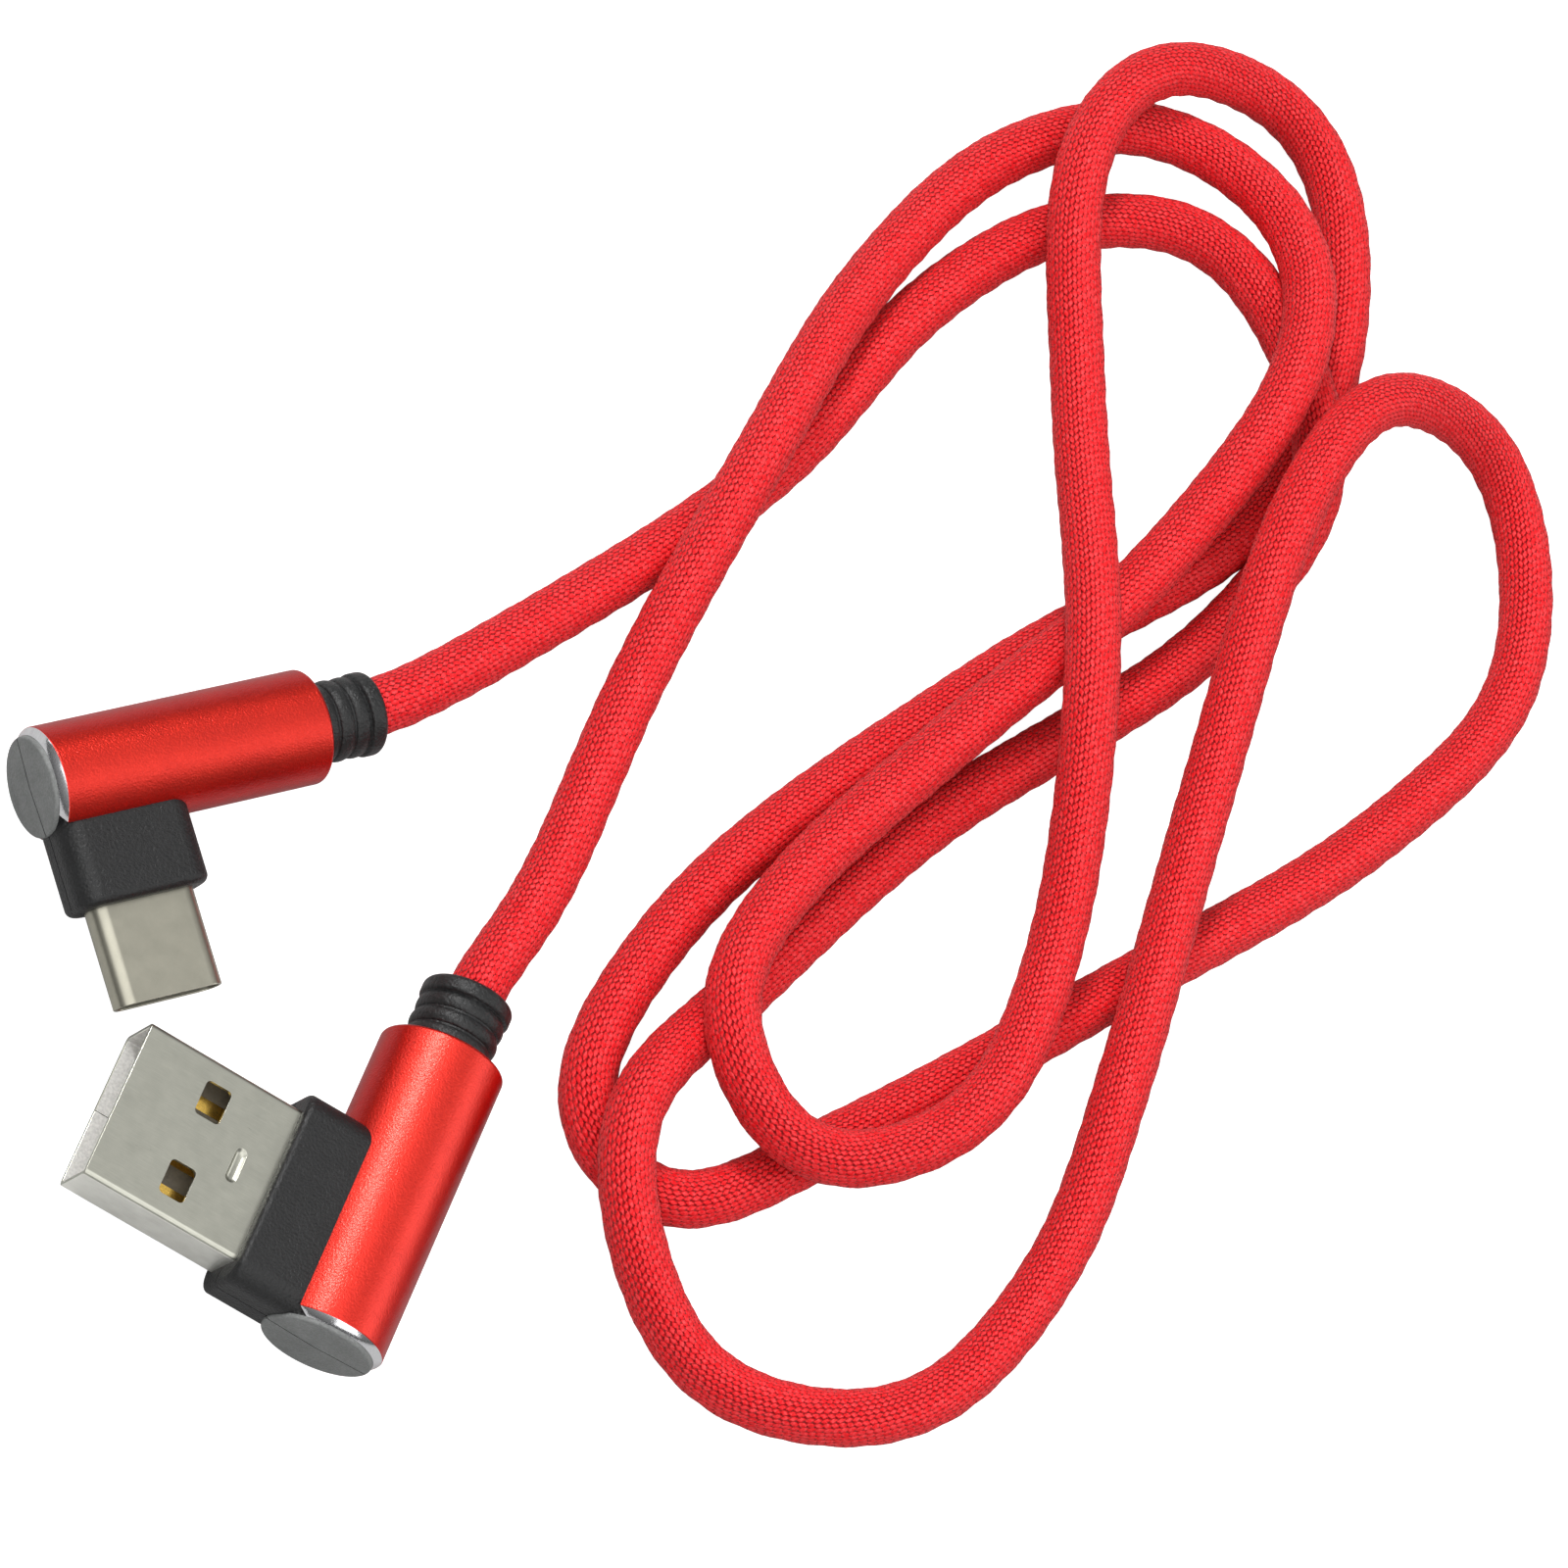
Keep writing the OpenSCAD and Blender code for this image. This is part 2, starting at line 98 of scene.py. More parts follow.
TARGET = Vector((32.58, 34.23, 2.0)) * MM
AZIMUTH, ELEVATION, ROLL = math.radians(-34.25), math.radians(57.8), math.radians(61.73)
DISTANCE = 0.5133


def make_camera():
    data = bpy.data.cameras.new("camera")
    data.lens = 162.0
    data.sensor_width = 36.0
    data.clip_start, data.clip_end = 0.01, 20.0
    camera = bpy.data.objects.new("camera", data)
    bpy.context.collection.objects.link(camera)
    flat = math.cos(ELEVATION)
    back = Vector((math.sin(AZIMUTH) * flat, -math.cos(AZIMUTH) * flat, math.sin(ELEVATION)))
    level = (-back).to_track_quat("-Z", "Y").to_matrix().to_4x4()
    camera.matrix_world = (
        Matrix.Translation(TARGET + back * DISTANCE) @ level @ Matrix.Rotation(ROLL, 4, "Z")
    )
    bpy.context.scene.camera = camera


make_camera()

# ---------------------------------------------------------------- shared helpers


def add_object(name, mesh, material_list, smooth=True):
    for material in material_list:
        mesh.materials.append(material)
    if smooth:
        mesh.polygons.foreach_set("use_smooth", [True] * len(mesh.polygons))
    piece = bpy.data.objects.new(name, mesh)
    bpy.context.collection.objects.link(piece)
    return piece


def apply_modifiers(piece):
    """Replaces the piece's mesh by what its modifiers make of it."""
    depsgraph = bpy.context.evaluated_depsgraph_get()
    mesh = bpy.data.meshes.new_from_object(piece.evaluated_get(depsgraph), depsgraph=depsgraph)
    piece.modifiers.clear()
    piece.data = mesh


def finish_piece(piece, nodes):
    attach(piece, BODY)
    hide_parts(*nodes)
    return piece


# ---------------------------------------------------------------- node groups and materials


class Nodes:
    """Short-hand for building a material's nodes."""

    def __init__(self, name):
        self.material = bpy.data.materials.new(name)
        self.material.use_nodes = True
        self.tree = self.material.node_tree
        self.shader = self.tree.nodes["Principled BSDF"]

    def add(self, kind, **values):
        node = self.tree.nodes.new(kind)
        for key, value in values.items():
            if hasattr(node, key):
                setattr(node, key, value)
            else:
                node.inputs[key.replace("_", " ")].default_value = value
        return node

    def link(self, source, target):
        self.tree.links.new(source, target)

    def math(self, operation, a, b=None, c=None):
        node = self.tree.nodes.new("ShaderNodeMath")
        node.operation = operation
        for socket, value in zip(node.inputs, (a, b, c)):
            if value is None:
                continue
            if isinstance(value, (int, float)):
                socket.default_value = value
            else:
                self.link(value, socket)
        return node.outputs[0]

    def ramp(self, factor, stops):
        node = self.tree.nodes.new("ShaderNodeValToRGB")
        ramp = node.color_ramp
        while len(ramp.elements) < len(stops):
            ramp.elements.new(0.5)
        for element, (at, colour) in zip(ramp.elements, stops):
            element.position = at
            element.color = colour if len(colour) == 4 else (*colour, 1)
        self.link(factor, node.inputs["Fac"])
        return node.outputs["Color"]

    def range(self, factor, low, high, from_low=0.0, from_high=1.0):
        node = self.tree.nodes.new("ShaderNodeMapRange")
        self.link(factor, node.inputs["Value"])
        limits = {"From Min": from_low, "From Max": from_high, "To Min": low, "To Max": high}
        for key, value in limits.items():
            node.inputs[key].default_value = value
        return node.outputs["Result"]

    def noise(self, size_mm, stretch=(1, 1, 1), detail=3.0, rough=0.55):
        """Noise in object space whose grain is about size_mm, longer along the stretched axes."""
        coordinate = self.tree.nodes.new("ShaderNodeTexCoord")
        mapping = self.tree.nodes.new("ShaderNodeMapping")
        mapping.inputs["Scale"].default_value = [1 / s for s in stretch]
        self.link(coordinate.outputs["Object"], mapping.inputs["Vector"])
        node = self.tree.nodes.new("ShaderNodeTexNoise")
        node.inputs["Scale"].default_value = 1 / (size_mm * MM)
        node.inputs["Detail"].default_value = detail
        node.inputs["Roughness"].default_value = rough
        self.link(mapping.outputs["Vector"], node.inputs["Vector"])
        return node.outputs["Fac"]

    def bump(self, height, depth_mm, strength=1.0, after=None):
        node = self.tree.nodes.new("ShaderNodeBump")
        node.inputs["Strength"].default_value = strength
        node.inputs["Distance"].default_value = depth_mm * MM
        self.link(height, node.inputs["Height"])
        if after is not None:
            self.link(after, node.inputs["Normal"])
        self.link(node.outputs["Normal"], self.shader.inputs["Normal"])
        return node.outputs["Normal"]

    def set(self, **values):
        for key, value in values.items():
            self.shader.inputs[key.replace("_", " ")].default_value = value


COLUMNS = 36       # stitches round the cord
STITCH = 0.6       # length of one stitch
TWILL_STEP = 0.3   # each column starts this part of a stitch further on
LEAN = 0.28        # how far a stitch leans, as a part of its width


def textile_material():
    """Knitted stitches: columns run along the cord, rows step like twill, and a small pit lies where
    four stitches meet. One column, where the knit is joined, has wider and deeper holes."""
    m = Nodes("cord_textile")
    uv = m.add("ShaderNodeUVMap", uv_map="weave")
    split = m.add("ShaderNodeSeparateXYZ")
    m.link(uv.outputs["UV"], split.inputs["Vector"])
    slack = m.math("MULTIPLY_ADD", m.noise(1.1), 0.3, -0.15)
    u = m.math("ADD", split.outputs["X"], slack)
    column = m.math("FLOOR", u)
    across = m.math("SUBTRACT", m.math("SUBTRACT", u, column), 0.5)
    stepped = m.math("MULTIPLY_ADD", column, TWILL_STEP, split.outputs["Y"])
    row = m.math("ADD", stepped, m.math("MULTIPLY", m.noise(1.8), 0.5))
    along = m.math("SUBTRACT", m.math("FRACT", row), 0.5)
    odd = m.math("FRACT", m.math("MULTIPLY", column, 0.5))
    parity = m.math("SUBTRACT", m.math("MULTIPLY", odd, 4.0), 1.0)
    lean = m.math("MULTIPLY", m.math("MULTIPLY", parity, LEAN), along)
    side = m.math("ABSOLUTE", m.math("MULTIPLY", m.math("SUBTRACT", across, lean), 2.0))
    end = m.math("ABSOLUTE", m.math("MULTIPLY", along, 2.0))
    from_middle = m.math("ABSOLUTE", m.math("SUBTRACT", split.outputs["X"], COLUMNS / 2))
    from_join = m.math("SUBTRACT", COLUMNS / 2, from_middle)
    join = m.range(from_join, 1.0, 0.0, 1.6, 4.6)
    corner = m.math("MULTIPLY", side, end)
    pit = m.range(m.math("MULTIPLY_ADD", join, 0.3, corner), 0.0, 1.2, 0.50, 1.0)
    seam = m.math("POWER", side, 5.0)
    gap = m.math("POWER", end, 6.0)
    fibres = m.noise(0.10, detail=2.0)
    flat = m.math("SUBTRACT", 1.0, m.math("MULTIPLY", seam, 0.16))
    height = m.math("SUBTRACT", m.math("SUBTRACT", flat, m.math("MULTIPLY", gap, 0.10)), pit)
    dome = m.math("MULTIPLY_ADD", m.math("MULTIPLY", side, side), -0.2, height)
    relief = m.math("MULTIPLY_ADD", fibres, 0.3, dome)
    # Colour tone: the stitches' height darkens the pits, seams and gaps as painted shade and lightens the
    # stitch tops to pink as a painted highlight; the noise adds random tone.
    painted_shade_and_tone = m.math("MULTIPLY_ADD", m.math("SUBTRACT", m.noise(0.28, detail=4.0), 0.5), 0.75,
                  m.math("MULTIPLY", height, 0.8))
    colour = m.ramp(painted_shade_and_tone, [
        (0.0, (0.36, 0.001, 0.003)),
        (0.4, (0.68, 0.004, 0.008)),
        (0.72, (0.79, 0.007, 0.012)),
        (1.0, (0.98, 0.08, 0.09)),
    ])
    m.link(colour, m.shader.inputs["Base Color"])
    m.link(m.range(fibres, 0.45, 0.7), m.shader.inputs["Roughness"])
    m.set(Sheen_Weight=0.3, Sheen_Roughness=0.35, Sheen_Tint=(1.0, 0.2, 0.2, 1), Specular_IOR_Level=0.2)
    m.bump(relief, 0.13)
    return m.material


def anodised_material():
    m = Nodes("sleeve_anodised")
    grain = m.noise(0.14, detail=2.0)
    cloud = m.noise(2.5)
    colour = m.ramp(m.math("MULTIPLY_ADD", grain, 0.6, m.math("MULTIPLY", cloud, 0.4)), [
        (0.25, (0.66, 0.010, 0.002)),
        (0.75, (0.82, 0.022, 0.005)),
    ])
    m.link(colour, m.shader.inputs["Base Color"])
    m.link(m.range(grain, 0.32, 0.42), m.shader.inputs["Roughness"])
    m.set(Metallic=1.0, Specular_Tint=(0.35, 0.02, 0.02, 1))
    m.set(Coat_Weight=0.75, Coat_Roughness=0.26, Coat_IOR=1.5)
    m.link(m.bump(grain, 0.032), m.shader.inputs["Coat Normal"])
    return m.material


def cut_ring_material():
    m = Nodes("sleeve_diamond_cut")
    lines = m.noise(0.06, stretch=(1, 12, 1), detail=1.0)
    shine = m.ramp(lines, [(0.3, (0.66, 0.66, 0.68)), (0.8, (0.86, 0.86, 0.87))])
    m.link(shine, m.shader.inputs["Base Color"])
    m.link(m.range(lines, 0.08, 0.16), m.shader.inputs["Roughness"])
    m.set(Metallic=1.0)
    m.bump(lines, 0.004)
    return m.material


def moulded_material(name, base, rough, grain_mm, depth_mm):
    """Dark moulded plastic or rubber with a fine grain and faint handling marks."""
    m = Nodes(name)
    grain = m.noise(grain_mm, detail=2.5)
    marks = m.noise(1.8, detail=5.0, rough=0.65)
    low = [c * 0.7 for c in base]
    high = [c * 1.35 for c in base]
    mottle = m.math("MULTIPLY_ADD", grain, 0.5, m.math("MULTIPLY", marks, 0.5))
    m.link(m.ramp(mottle, [(0.3, low), (0.7, high)]), m.shader.inputs["Base Color"])
    m.link(m.range(marks, rough - 0.08, rough + 0.1), m.shader.inputs["Roughness"])
    m.set(Specular_IOR_Level=0.4)
    m.bump(grain, depth_mm)
    return m.material


def plated_material(name, base, rough, along):
    """Plated sheet steel: long faint draw lines, a few fine scratches and a clouded polish."""
    m = Nodes(name)
    lines = m.noise(0.05, stretch=along, detail=2.0)
    cloud = m.noise(1.4, detail=4.0)
    scratches = m.noise(0.35, stretch=(9, 1.2, 1), detail=6.0, rough=0.75)
    fine = m.math("MULTIPLY_ADD", lines, 0.5, m.math("MULTIPLY", cloud, 0.5))
    low = [c * 0.86 for c in base]
    high = [min(1.0, c * 1.1) for c in base]
    m.link(m.ramp(fine, [(0.3, low), (0.7, high)]), m.shader.inputs["Base Color"])
    wear = m.math("MULTIPLY_ADD", scratches, 0.6, m.math("MULTIPLY", lines, 0.4))
    m.link(m.range(wear, rough - 0.03, rough + 0.07), m.shader.inputs["Roughness"])
    m.set(Metallic=1.0)
    m.bump(m.math("MULTIPLY_ADD", lines, 0.4, scratches), 0.002)
    return m.material


def plain_plastic(name, base, rough, grain_mm=0.3, metallic=0.0):
    m = Nodes(name)
    grain = m.noise(grain_mm, detail=3.0)
    low = [c * 0.85 for c in base]
    high = [min(1.0, c * 1.15) for c in base]
    m.link(m.ramp(grain, [(0.3, low), (0.7, high)]), m.shader.inputs["Base Color"])
    m.link(m.range(grain, rough - 0.07, rough + 0.07), m.shader.inputs["Roughness"])
    m.set(Metallic=metallic)
    m.bump(grain, 0.006)
    return m.material


TEXTILE = textile_material()
ANODISED = anodised_material()
CUT_RING = cut_ring_material()
HOUSING = moulded_material("housing_moulded", (0.0085, 0.0087, 0.009), 0.40, 0.2, 0.085)
# The cap's face is the housing's black moulding painted grey as painted light where the light falls on it;
# its grain and marks are real.
CAP_FACE_PAINTED_LIGHT = moulded_material("cap_grain_painted_light", (0.18, 0.186, 0.182), 0.55, 0.18, 0.07)
RELIEF = moulded_material("relief_rubber", (0.011, 0.0113, 0.0115), 0.40, 0.22, 0.085)
NICKEL = plated_material("shell_nickel", (0.475, 0.475, 0.41), 0.27, (30, 1, 1))
# The shell's flat sides are its nickel plating in a lighter copy: painted light where the sides catch the
# light.
SIDE_NICKEL_PAINTED_LIGHT = plated_material("shell_nickel_sides_painted_light", (0.93, 0.92, 0.85), 0.36, (30, 1, 1))
# The shell's inside is its nickel plating in a lighter, less metallic copy: painted light where light enters
# the mouth.
INNER_NICKEL_PAINTED_LIGHT = plain_plastic("shell_inside_painted_light", (0.80, 0.79, 0.76), 0.5, 0.2, metallic=0.35)
STEEL = plated_material("shell_drawn_steel", (0.435, 0.42, 0.345), 0.3, (1, 1, 1))
LATCH = plated_material("latch_spring_steel", (0.55, 0.55, 0.56), 0.3, (1, 20, 1))
GOLD = plain_plastic("contact_gold_plate", (0.83, 0.54, 0.12), 0.22, 0.12, metallic=1.0)
INSULATOR = plain_plastic("insulator_moulded", (0.15, 0.128, 0.092), 0.42)
SLOT_BLACK = plain_plastic("insulator_black", (0.014, 0.014, 0.015), 0.45)

# ---------------------------------------------------------------- the cord

# The part's own route: the lay's points in millimetres, between the two reliefs' end faces
LAY = [
    (18.6, 15.5, 3.2), (18.5, 34, 3.8), (19.4, 54, 6.8), (22.7, 73.5, 3.6), (29.5, 90.5, 2.1),
    (40.5, 100, 2.1), (51.5, 97.5, 5.2), (55.5, 86, 8.6), (51.2, 63.5, 6.8), (42.5, 44, 6.2),
    (34, 23.5, 6.2), (33.3, 13, 7.8), (43.5, 7.5, 6.4), (54.2, 16.8, 6.4), (55.5, 31, 6.4),
    (48, 52, 10.6), (40.8, 73, 6), (33.2, 91, 7), (37.5, 103, 5.4), (52, 107.3, 2.1), (60.3, 94, 2.1),
    (60, 76, 2.1), (44.7, 51.3, 2.1), (29, 20.3, 2.1), (28, 3.3, 2.1), (36.5, 0.5, 2.1), (47, 12, 2.1),
    (63, 34.3, 2.1), (78.7, 58, 2.1), (84.8, 76, 2.1), (77, 91, 2.6), (63, 86.5, 8.8), (58.7, 73, 10.6),
    (61.7, 50, 7.2), (64.8, 25, 5.4), (66.2, 12.5, 2.6), (60, -3.5, 2.1), (44, -9.3, 2.1),
    (30.2, 2, 6.2), (36.2, 19, 2.2), (44, 37.5, 2.1), (60.2, 65, 2.1), (61.6, 79, 6.2), (49, 94, 2.1),
    (37, 88.8, 2.1), (28, 75, 2.1), (22.5, 56.5, 2.1), (10, 33.8, 2.2),
]
CORD_R = 2.1
RING_STEP = 0.67            # between two rings of the cord's mesh
ROUND = 2 * COLUMNS         # points round each ring
STRAIGHT = 6                # how far behind each exit a point turns the curve towards the boot's axis
RIDGE, KNIT, STUFFING = 0.025, 0.045, 0.025     # heights of the cord's unevenness, fine to slow
JOIN_SIDE = np.array([-0.74, -0.35, 0.58])      # where the knit's join shows


def plug_point(plug, x, y, z=0.0):
    """A point of the plug's own frame, in row millimetres."""
    return np.array(plug["place"] @ Vector((x * MM, y * MM, z * MM))) / MM


def cord_end(plug):
    end = CAP_PROUD + plug["sleeve"] + RELIEF_OUT
    exit_point = plug_point(plug, 0, end)
    return exit_point, plug_point(plug, 0, end + 1) - exit_point


def smooth_route():
    """Centripetal Catmull-Rom curve through the route, evenly spaced and lightly smoothed."""
    a_exit, a_out = cord_end(PLUG_A)
    c_exit, c_out = cord_end(PLUG_C)
    points = np.vstack([a_exit - STRAIGHT * a_out, a_exit, LAY, c_exit, c_exit - STRAIGHT * c_out])
    gaps = np.sqrt(np.linalg.norm(np.diff(points, axis=0), axis=1))
    curve = []
    for i in range(1, len(points) - 2):
        p0, p1, p2, p3 = points[i - 1:i + 3]
        g0, g1, g2 = gaps[i - 1:i + 2]
        m1 = ((p1 - p0) / g0 - (p2 - p0) / (g0 + g1) + (p2 - p1) / g1) * g1
        m2 = ((p2 - p1) / g1 - (p3 - p1) / (g1 + g2) + (p3 - p2) / g2) * g1
        t = np.linspace(0, 1, 60, endpoint=False)[:, None]
        curve.append(p1 + t * m1 + t**2 * (3 * (p2 - p1) - 2 * m1 - m2) + t**3 * (2 * (p1 - p2) + m1 + m2))
    curve = np.vstack(curve + [c_exit])
    step, sigma = 0.5, 2.2
    for _ in range(2):
        curve = even(curve, step)
        curve = blur(curve, a_out, c_out, step, sigma)
        curve[:, 2] = np.maximum(curve[:, 2], CORD_R)
    return even(curve, RING_STEP), a_out, c_out


def even(curve, step):
    """The same curve with its points evenly spaced, about step apart."""
    far = np.r_[0, np.cumsum(np.linalg.norm(np.diff(curve, axis=0), axis=1))]
    at = np.linspace(0, far[-1], int(round(far[-1] / step)) + 1)
    return np.stack([np.interp(at, far, curve[:, k]) for k in range(3)], axis=1)


def blur(curve, a_out, c_out, step, sigma):
    """Gaussian smoothing. A straight run-up past each end holds it near its exit and near its axis."""
    reach = int(4 * sigma / step)
    before = curve[0] + a_out * step * np.arange(-reach, 0)[:, None]
    after = curve[-1] - c_out * step * np.arange(1, reach + 1)[:, None]
    padded = np.vstack([before, curve, after])
    kernel = np.exp(-0.5 * (np.arange(-reach, reach + 1) * step / sigma) ** 2)
    kernel /= kernel.sum()
    return np.stack([np.convolve(padded[:, k], kernel, mode="valid") for k in range(3)], axis=1)


def frames_along(curve):
    """A side and an up direction at each point, turning as little as possible along the curve."""
    tangent = np.gradient(curve, axis=0)
    tangent /= np.linalg.norm(tangent, axis=1)[:, None]
    up = np.zeros_like(curve)
    up[0] = (0, 0, 1)
    for i in range(1, len(curve)):
        v = up[i - 1] - tangent[i] * np.dot(up[i - 1], tangent[i])
        up[i] = v / np.linalg.norm(v)
    return np.cross(tangent, up), up


def join_angle(side, up):
    """Where the knit's join lies round the cord: it keeps to the upper left, as the cord isn't twisted."""
    angle = np.unwrap(np.arctan2(up @ JOIN_SIDE, side @ JOIN_SIDE))
    reach = int(25 / RING_STEP)
    kernel = np.hanning(2 * reach + 1)
    return np.convolve(np.pad(angle, reach, mode="edge"), kernel / kernel.sum(), mode="valid")


def soft_wave(length_along, angle, seed):
    """Slow unevenness of a stuffed textile tube: a few waves with seeded phases."""
    rng = np.random.default_rng(seed)
    total = 0
    for turns, pitch in ((1, 37), (2, 23), (2, 11), (3, 7.3), (4, 4.1)):
        total = total + np.sin(turns * angle + 2 * np.pi * length_along / pitch + rng.uniform(0, 6.28))
    return total / 5


def make_cord():
    curve, a_out, c_out = smooth_route()
    side, up = frames_along(curve)
    rings = len(curve)
    far = np.arange(rings) * np.linalg.norm(curve[1] - curve[0])
    angle = 2 * np.pi * np.arange(ROUND) / ROUND
    far_grid, angle_grid = np.meshgrid(far, angle, indexing="ij")
    turned = angle_grid + join_angle(side, up)[:, None]
    ridge = np.where(np.arange(ROUND) % 2 == 0, RIDGE, -RIDGE)[None, :]
    knit = KNIT * np.sin(2 * np.pi * (far_grid / (4 * RING_STEP)) + 9 * angle_grid)
    radius = CORD_R - 0.05 + ridge + knit + STUFFING * soft_wave(far_grid, angle_grid, 4)
    points = (
        curve[:, None, :]
        + (radius * np.cos(turned))[..., None] * side[:, None, :]
        + (radius * np.sin(turned))[..., None] * up[:, None, :]
    )
    points[..., 2] = np.maximum(points[..., 2], 0.0)
    vertices = points.reshape(-1, 3) * MM
    ring, spot = np.meshgrid(np.arange(rings - 1), np.arange(ROUND), indexing="ij")
    following = (spot + 1) % ROUND
    quads = np.stack([
        ring * ROUND + spot, (ring + 1) * ROUND + spot,
        (ring + 1) * ROUND + following, ring * ROUND + following,
    ], axis=-1).reshape(-1, 4)
    mesh = bpy.data.meshes.new("cord_woven_sleeve")
    caps = [list(range(ROUND)), list(range((rings - 1) * ROUND, rings * ROUND))[::-1]]
    mesh.from_pydata(vertices.tolist(), [], quads.tolist() + caps)
    weave = mesh.uv_layers.new(name="weave")
    u0 = np.stack([spot, spot, spot + 1, spot + 1], axis=-1).reshape(-1, 4) / 2
    v0 = np.stack([ring, ring + 1, ring + 1, ring], axis=-1).reshape(-1, 4) * (far[1] / STITCH)
    coordinates = np.zeros((len(mesh.loops), 2))
    coordinates[:u0.size, 0] = u0.ravel()
    coordinates[:u0.size, 1] = v0.ravel()
    weave.data.foreach_set("uv", coordinates.ravel())
    cord = add_object("cord_woven_sleeve", mesh, [TEXTILE])
    finish_piece(cord, ["cord_textile_sleeve", "cord_core"])
    return cord


cord = make_cord()

# ---------------------------------------------------------------- the plugs' visible pieces


def put(plug, mesh):
    """Moves a mesh from the plug's own frame, in millimetres, to its place in the row frame."""
    mesh.transform(plug["place"] @ Matrix.Scale(MM, 4))
    if plug["place"].determinant() < 0:
        mesh.flip_normals()
    return mesh


def lathe(name, profile, sides=160):
    """Turns a closed outline of (radius, y, material) about the barrel's axis."""
    build = bmesh.new()
    rings = []
    for radius, y, _ in profile:
        rings.append([
            build.verts.new((radius * math.cos(a), y, radius * math.sin(a)))
            for a in (2 * math.pi * i / sides for i in range(sides))
        ])
    count = len(profile)
    for k in range(count):
        here, there = rings[k], rings[(k + 1) % count]
        for i in range(sides):
            j = (i + 1) % sides
            build.faces.new((here[i], here[j], there[j], there[i])).material_index = profile[k][2]
    bmesh.ops.recalc_face_normals(build, faces=build.faces)
    mesh = bpy.data.meshes.new(name)
    build.to_mesh(mesh)
    build.free()
    return mesh


def arc(centre, radius, start, stop, steps):
    """Points of an arc in degrees, as (across, along) pairs."""
    angles = [math.radians(start + (stop - start) * i / steps) for i in range(steps + 1)]
    return [(centre[0] + radius * math.cos(a), centre[1] + radius * math.sin(a)) for a in angles]


def round_rectangle(height, width, radius, steps=8):
    """Outline (z, y) of a rectangle with round corners, middle at the origin, counter-clockwise."""
    h, w = height / 2 - radius, width / 2 - radius
    return (
        arc((h, w), radius, 0, 90, steps) + arc((-h, w), radius, 90, 180, steps)
        + arc((-h, -w), radius, 180, 270, steps) + arc((h, -w), radius, 270, 360, steps)
    )


def loft(name, rings, material=0):
    """A closed solid through rings of the same number of points, each a list of (x, y, z)."""
    build = bmesh.new()
    rows = [[build.verts.new(p) for p in ring] for ring in rings]
    count = len(rows[0])
    for here, there in zip(rows, rows[1:]):
        for i in range(count):
            j = (i + 1) % count
            build.faces.new((here[i], here[j], there[j], there[i]))
    build.faces.new(rows[0])
    build.faces.new(rows[-1][::-1])
    bmesh.ops.recalc_face_normals(build, faces=build.faces)
    for face in build.faces:
        face.material_index = material
    mesh = bpy.data.meshes.new(name)
    build.to_mesh(mesh)
    build.free()
    return mesh


def prism_z(name, outline, low, high):
    """A solid with an (x, y) outline between two heights."""
    return loft(name, [[(x, y, z) for x, y in outline] for z in (low, high)])


def prism_x(name, outline, low, high, middle_y):
    """A solid with a (z, y) outline between two distances from the barrel's axis."""
    return loft(name, [[(x, y + middle_y, z) for z, y in outline] for x in (low, high)])


def combine(piece, cutters, operation):
    """Joins the cutters' solids to the piece, or takes them out of it, and deletes the cutters."""
    for mesh in cutters:
        helper = bpy.data.objects.new("helper", mesh)
        bpy.context.collection.objects.link(helper)
        modifier = piece.modifiers.new("combine", "BOOLEAN")
        modifier.operation = operation
        modifier.solver = "EXACT"
        modifier.object = helper
        apply_modifiers(piece)
        bpy.data.objects.remove(helper)
    return piece


def soften(piece, width, segments=3, angle=35):
    """Rounds the sharp edges and keeps flat faces flat."""
    bevel = piece.modifiers.new("soften", "BEVEL")
    bevel.width = width
    bevel.segments = segments
    bevel.limit_method = "ANGLE"
    bevel.angle_limit = math.radians(angle)
    bevel.harden_normals = False
    bevel.use_clamp_overlap = True
    apply_modifiers(piece)
    mesh = piece.data
    mesh.polygons.foreach_set("use_smooth", [True] * len(mesh.polygons))
    mesh.set_sharp_from_angle(angle=math.radians(30))


def settle(piece, plug, nodes):
    put(plug, piece.data)
    even = piece.modifiers.new("even", "WEIGHTED_NORMAL")
    even.weight = 100
    even.keep_sharp = True
    apply_modifiers(piece)
    finish_piece(piece, nodes)


def notch_outline(plug):
    """Seen along X: the sleeve's notch, open at the cap end and round at its far corners."""
    half = plug["block_h"] / 2
    far = plug["shell_y"] + plug["block_w"] / 2
    return (
        arc((half - BLOCK_R, far - BLOCK_R), BLOCK_R, 0, 90, 8)
        + arc((-half + BLOCK_R, far - BLOCK_R), BLOCK_R, 90, 180, 8)
        + [(-half, -1.0), (half, -1.0)]
    )


def make_sleeve(plug):
    r, length = plug["radius"], plug["sleeve"]
    start, end = CAP_PROUD, CAP_PROUD + length
    inner = r - WALL
    neck = plug["collar_r"] - NECK_STEP
    profile = (
        [(inner, start, 1), (r - CHAMFER, start, 1)]
        + [(r - 0.04, start + CHAMFER - 0.02, 0), (r, start + CHAMFER + 0.06, 0)]
        + [(x, y, 0) for x, y in arc((r - 0.3, end - 0.3), 0.3, 0, 90, 8)]
        + [(neck + 0.1, end, 0), (neck, end - 0.1, 0), (neck, end - LIP, 0), (inner, end - LIP, 0)]
    )
    piece = add_object(f"{plug['tag']}_barrel", lathe("barrel", profile), [ANODISED, CUT_RING])
    combine(piece, [prism_x("notch", notch_outline(plug), 0, r + 1, 0)], "DIFFERENCE")
    soften(piece, 0.05, segments=2)
    settle(piece, plug, [f"{plug['tag']}_sleeve"])


